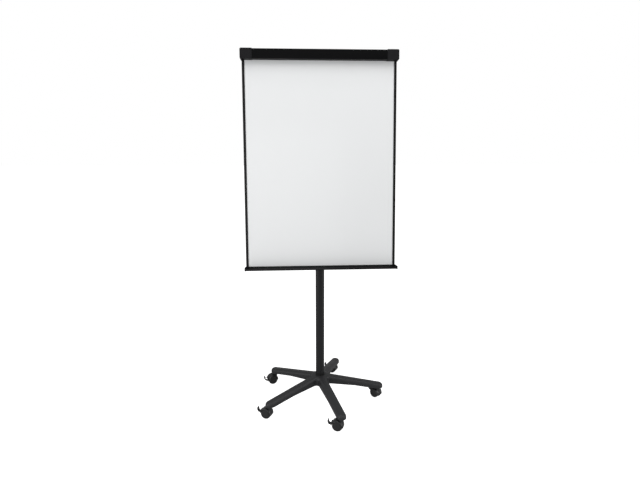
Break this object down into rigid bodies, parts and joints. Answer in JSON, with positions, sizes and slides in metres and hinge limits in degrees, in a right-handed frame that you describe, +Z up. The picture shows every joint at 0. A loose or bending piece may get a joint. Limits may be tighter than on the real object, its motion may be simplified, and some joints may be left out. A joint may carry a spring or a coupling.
{
  "type": "mobile flipchart easel",
  "caption": "Mobile flipchart easel: white steel board with clamp bar and pen tray, tilting on a telescopic column over a five-arm star base with braked castors.",
  "frame": {"origin": "on the floor, on the axis of the column", "axes": "+X to the reader's right along the board's width, -Y out of the board's face towards the reader, +Z up along the column"},
  "size_m": [0.712, 0.638, 1.7129],
  "materials": {
    "nylon_black": "satin, fine-grained glass-filled nylon moulding",
    "powder_black": "satin black powder coat",
    "collar_plastic": "matt moulded plastic",
    "zinc_steel": "bright zinc plate",
    "bracket_steel": "satin black powder coat",
    "knob_plastic": "matt moulded plastic",
    "white_enamel": "glossy white dry-wipe lacquer",
    "core_board": "raw paper honeycomb board",
    "grey_backing": "matt grey primer",
    "profile_black": "satin black anodised",
    "bar_black": "satin black anodised",
    "cap_plastic": "matt moulded plastic",
    "rubber_grey": "ribbed rubber",
    "hook_plastic": "moulded plastic",
    "castor_hood": "satin nylon",
    "castor_wheel": "hard nylon tread",
    "pedal_plastic": "satin nylon"
  },
  "bodies": {
    "base": {"star_base": "nylon_black", "hub_bolt": "zinc_steel", "outer_column": "powder_black", "column_collar": "collar_plastic", "column_bush": "collar_plastic", "clamp_collar": "collar_plastic", "castor_stems": "zinc_steel"},
    "height_knob": {"height_knob": "knob_plastic", "height_stud": "zinc_steel"},
    "mast": {"inner_column": "powder_black", "foot_guide": "collar_plastic", "tilt_head": "collar_plastic"},
    "board": {"writing_sheet": "white_enamel", "board_core": "core_board", "backing_sheet": "grey_backing", "left_side_profile": "profile_black", "right_side_profile": "profile_black", "top_rail": "profile_black", "bottom_rail": "profile_black", "tilt_bracket": "bracket_steel", "bracket_screws": "zinc_steel", "tilt_nut": "zinc_steel", "pen_tray": "profile_black", "left_tray_cap": "cap_plastic", "right_tray_cap": "cap_plastic", "left_end_cap": "cap_plastic", "right_end_cap": "cap_plastic", "bar_hinge_pins": "zinc_steel", "bar_springs": "zinc_steel"},
    "tilt_knob": {"tilt_knob": "knob_plastic", "tilt_bolt": "zinc_steel"},
    "clamp_bar": {"clamp_bar": "bar_black", "grip_strip": "rubber_grey"},
    "left_hook": {"left_pad_hook": "hook_plastic"},
    "right_hook": {"right_pad_hook": "hook_plastic"},
    "castor_1": {"castor_1_hood": "castor_hood", "castor_1_axle": "zinc_steel"},
    "castor_1_outer_wheel": {"castor_1_outer_wheel": "castor_wheel"},
    "castor_1_inner_wheel": {"castor_1_inner_wheel": "castor_wheel"},
    "castor_1_pedal": {"castor_1_pedal": "pedal_plastic"},
    "castor_2": {"castor_2_hood": "castor_hood", "castor_2_axle": "zinc_steel"},
    "castor_2_outer_wheel": {"castor_2_outer_wheel": "castor_wheel"},
    "castor_2_inner_wheel": {"castor_2_inner_wheel": "castor_wheel"},
    "castor_2_pedal": {"castor_2_pedal": "pedal_plastic"},
    "castor_3": {"castor_3_hood": "castor_hood", "castor_3_axle": "zinc_steel"},
    "castor_3_outer_wheel": {"castor_3_outer_wheel": "castor_wheel"},
    "castor_3_inner_wheel": {"castor_3_inner_wheel": "castor_wheel"},
    "castor_3_pedal": {"castor_3_pedal": "pedal_plastic"},
    "castor_4": {"castor_4_hood": "castor_hood", "castor_4_axle": "zinc_steel"},
    "castor_4_outer_wheel": {"castor_4_outer_wheel": "castor_wheel"},
    "castor_4_inner_wheel": {"castor_4_inner_wheel": "castor_wheel"},
    "castor_4_pedal": {"castor_4_pedal": "pedal_plastic"},
    "castor_5": {"castor_5_hood": "castor_hood", "castor_5_axle": "zinc_steel"},
    "castor_5_outer_wheel": {"castor_5_outer_wheel": "castor_wheel"},
    "castor_5_inner_wheel": {"castor_5_inner_wheel": "castor_wheel"},
    "castor_5_pedal": {"castor_5_pedal": "pedal_plastic"}
  },
  "joints": [
    {"name": "height_slide", "type": "slide", "parent": "base", "child": "mast", "axis": [0, 0, 1], "range_m": [-0.12, 0.25]},
    {"name": "board_tilt", "type": "hinge", "parent": "mast", "child": "board", "pos_m": [0, 0, 1.2], "axis": [-1, 0, 0], "range_deg": [-5.2, 14.8]},
    {"name": "height_knob_turn", "type": "hinge", "parent": "base", "child": "height_knob", "pos_m": [0, 0.045, 0.985], "axis": [0, 1, 0], "range_deg": [0, 270]},
    {"name": "tilt_knob_turn", "type": "hinge", "parent": "board", "child": "tilt_knob", "pos_m": [0.03, 0, 1.2], "axis": [1, 0, 0], "range_deg": [0, 270]},
    {"name": "clamp_bar_hinge", "type": "hinge", "parent": "board", "child": "clamp_bar", "pos_m": [0, -0.0196, 1.70184], "axis": [-1, 0, 0], "range_deg": [0, 90], "stiffness_Nm_per_rad": 0.15, "springref_deg": -85.94},
    {"name": "left_hook_slide", "type": "slide", "parent": "board", "child": "left_hook", "axis": [1, 0, 0], "range_m": [-0.03, 0.14]},
    {"name": "right_hook_slide", "type": "slide", "parent": "board", "child": "right_hook", "axis": [1, 0, 0], "range_m": [-0.14, 0.03]},
    {"name": "castor_1_swivel", "type": "hinge", "parent": "base", "child": "castor_1", "pos_m": [-0.23733, 0.18676, 0.052], "axis": [0, 0, 1], "continuous": true},
    {"name": "castor_1_outer_spin", "type": "hinge", "parent": "castor_1", "child": "castor_1_outer_wheel", "pos_m": [-0.25364, 0.17915, 0.025], "axis": [-0.4226, 0.9063, 0], "continuous": true},
    {"name": "castor_1_inner_spin", "type": "hinge", "parent": "castor_1", "child": "castor_1_inner_wheel", "pos_m": [-0.25364, 0.17915, 0.025], "axis": [-0.4226, 0.9063, 0], "continuous": true},
    {"name": "castor_1_brake", "type": "hinge", "parent": "castor_1", "child": "castor_1_pedal", "pos_m": [-0.27919, 0.16724, 0.03526], "axis": [0.4226, -0.9063, 0], "range_deg": [0, 14]},
    {"name": "castor_2_swivel", "type": "hinge", "parent": "base", "child": "castor_2", "pos_m": [-0.25096, -0.168, 0.052], "axis": [0, 0, 1], "continuous": true},
    {"name": "castor_2_outer_spin", "type": "hinge", "parent": "castor_2", "child": "castor_2_outer_wheel", "pos_m": [-0.26753, -0.16097, 0.025], "axis": [0.3907, 0.9205, 0], "continuous": true},
    {"name": "castor_2_inner_spin", "type": "hinge", "parent": "castor_2", "child": "castor_2_inner_wheel", "pos_m": [-0.26753, -0.16097, 0.025], "axis": [0.3907, 0.9205, 0], "continuous": true},
    {"name": "castor_2_brake", "type": "hinge", "parent": "castor_2", "child": "castor_2_pedal", "pos_m": [-0.29348, -0.14995, 0.03526], "axis": [-0.3907, -0.9205, 0], "range_deg": [0, 14]},
    {"name": "castor_3_swivel", "type": "hinge", "parent": "base", "child": "castor_3", "pos_m": [0.08223, -0.29059, 0.052], "axis": [0, 0, 1], "continuous": true},
    {"name": "castor_3_outer_spin", "type": "hinge", "parent": "castor_3", "child": "castor_3_outer_wheel", "pos_m": [0.06531, -0.28443, 0.025], "axis": [0.342, 0.9397, 0], "continuous": true},
    {"name": "castor_3_inner_spin", "type": "hinge", "parent": "castor_3", "child": "castor_3_inner_wheel", "pos_m": [0.06531, -0.28443, 0.025], "axis": [0.342, 0.9397, 0], "continuous": true},
    {"name": "castor_3_brake", "type": "hinge", "parent": "castor_3", "child": "castor_3_pedal", "pos_m": [0.03882, -0.27479, 0.03526], "axis": [-0.342, -0.9397, 0], "range_deg": [0, 14]},
    {"name": "castor_4_swivel", "type": "hinge", "parent": "base", "child": "castor_4", "pos_m": [0.30178, -0.01159, 0.052], "axis": [0, 0, 1], "continuous": true},
    {"name": "castor_4_outer_spin", "type": "hinge", "parent": "castor_4", "child": "castor_4_outer_wheel", "pos_m": [0.29145, 0.00315, 0.025], "axis": [0.8192, 0.5736, 0], "continuous": true},
    {"name": "castor_4_inner_spin", "type": "hinge", "parent": "castor_4", "child": "castor_4_inner_wheel", "pos_m": [0.29145, 0.00315, 0.025], "axis": [0.8192, 0.5736, 0], "continuous": true},
    {"name": "castor_4_brake", "type": "hinge", "parent": "castor_4", "child": "castor_4_pedal", "pos_m": [0.27528, 0.02624, 0.03526], "axis": [-0.8192, -0.5736, 0], "range_deg": [0, 14]},
    {"name": "castor_5_swivel", "type": "hinge", "parent": "base", "child": "castor_5", "pos_m": [0.10428, 0.28342, 0.052], "axis": [0, 0, 1], "continuous": true},
    {"name": "castor_5_outer_spin", "type": "hinge", "parent": "castor_5", "child": "castor_5_outer_wheel", "pos_m": [0.08869, 0.29242, 0.025], "axis": [0.5, 0.866, 0], "continuous": true},
    {"name": "castor_5_inner_spin", "type": "hinge", "parent": "castor_5", "child": "castor_5_inner_wheel", "pos_m": [0.08869, 0.29242, 0.025], "axis": [0.5, 0.866, 0], "continuous": true},
    {"name": "castor_5_brake", "type": "hinge", "parent": "castor_5", "child": "castor_5_pedal", "pos_m": [0.06428, 0.30652, 0.03526], "axis": [-0.5, -0.866, 0], "range_deg": [0, 14]}
  ]
}
